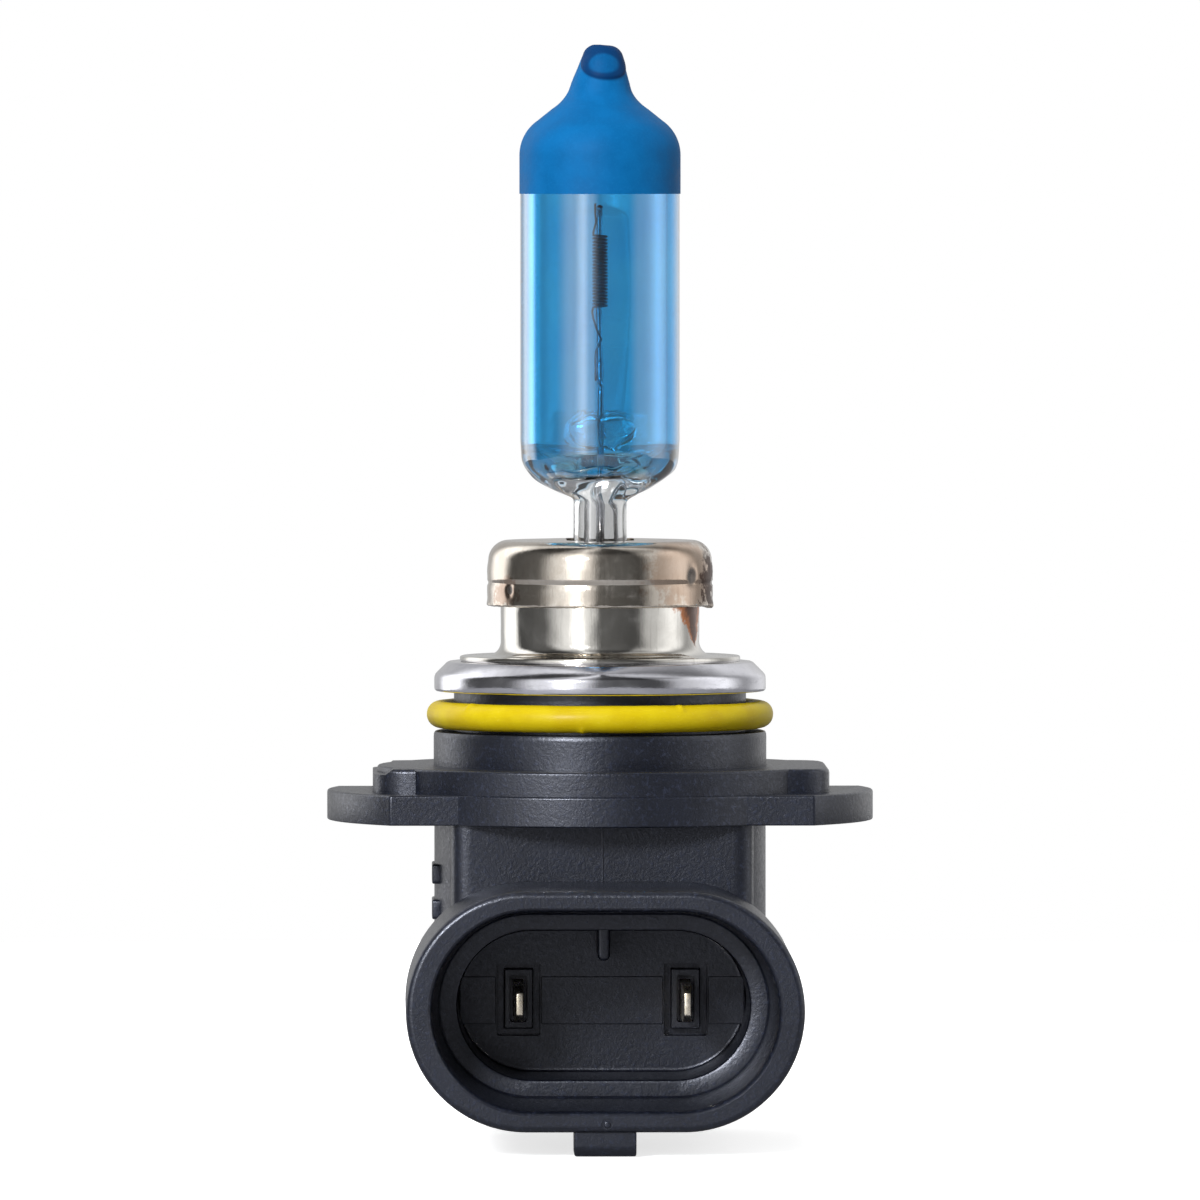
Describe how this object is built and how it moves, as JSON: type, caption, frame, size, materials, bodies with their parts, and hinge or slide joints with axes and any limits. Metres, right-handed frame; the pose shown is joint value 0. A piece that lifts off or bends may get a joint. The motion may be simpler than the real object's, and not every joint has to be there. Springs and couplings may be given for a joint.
{
  "type": "headlight bulb",
  "caption": "Halogen headlight bulb: blue-tinted tube with a painted tip, focused metal cap and locating ring, yellow seal, and a lugged plastic base with a right-angle blade socket.",
  "frame": {"origin": "on the bulb's axis, in the plane of the metal locating ring's rim, 31.5 mm below the middle of the filament", "axes": "+Z along the bulb's axis towards the glass tip; the connector opens towards -Y; +X is to the right as one looks into the connector with the tip up"},
  "size_m": [0.0416, 0.0509, 0.0832],
  "materials": {
    "tinted_glass": "clear blue tint, polished",
    "clear_glass": "clear, polished",
    "blue_paint": "satin heat-resistant paint",
    "tungsten": "drawn wire",
    "support_wire": "drawn wire",
    "seal_foil": "smooth foil",
    "lead_wire": "drawn wire",
    "sleeve": "braided glass sleeve",
    "spring_steel": "stamped",
    "cap_metal": "drawn, heat-tinted",
    "collar_metal": "drawn, polished",
    "ring_metal": "bright",
    "seal_rubber": "moulded",
    "base_plastic": "spark-eroded grain",
    "terminal_metal": "tin-plated",
    "carrier_plastic": "moulded",
    "potting": "cast resin"
  },
  "bodies": {
    "root": {"glass_envelope": "tinted_glass", "tip_coating": "blue_paint", "filament": "tungsten", "long_support_wire": "support_wire", "short_support_wire": "support_wire", "glass_bridge": "clear_glass", "front_seal_foil": "seal_foil", "rear_seal_foil": "seal_foil", "front_outer_lead": "lead_wire", "rear_outer_lead": "lead_wire", "front_lead_sleeve": "sleeve", "rear_lead_sleeve": "sleeve", "pinch_clip": "spring_steel", "retainer_cap": "cap_metal", "focus_collar": "collar_metal", "locating_ring": "ring_metal", "sealing_ring": "seal_rubber", "base_housing": "base_plastic", "base_cover": "base_plastic", "left_terminal": "terminal_metal", "right_terminal": "terminal_metal", "left_terminal_carrier": "carrier_plastic", "right_terminal_carrier": "carrier_plastic", "potting_compound": "potting"}
  },
  "joints": []
}
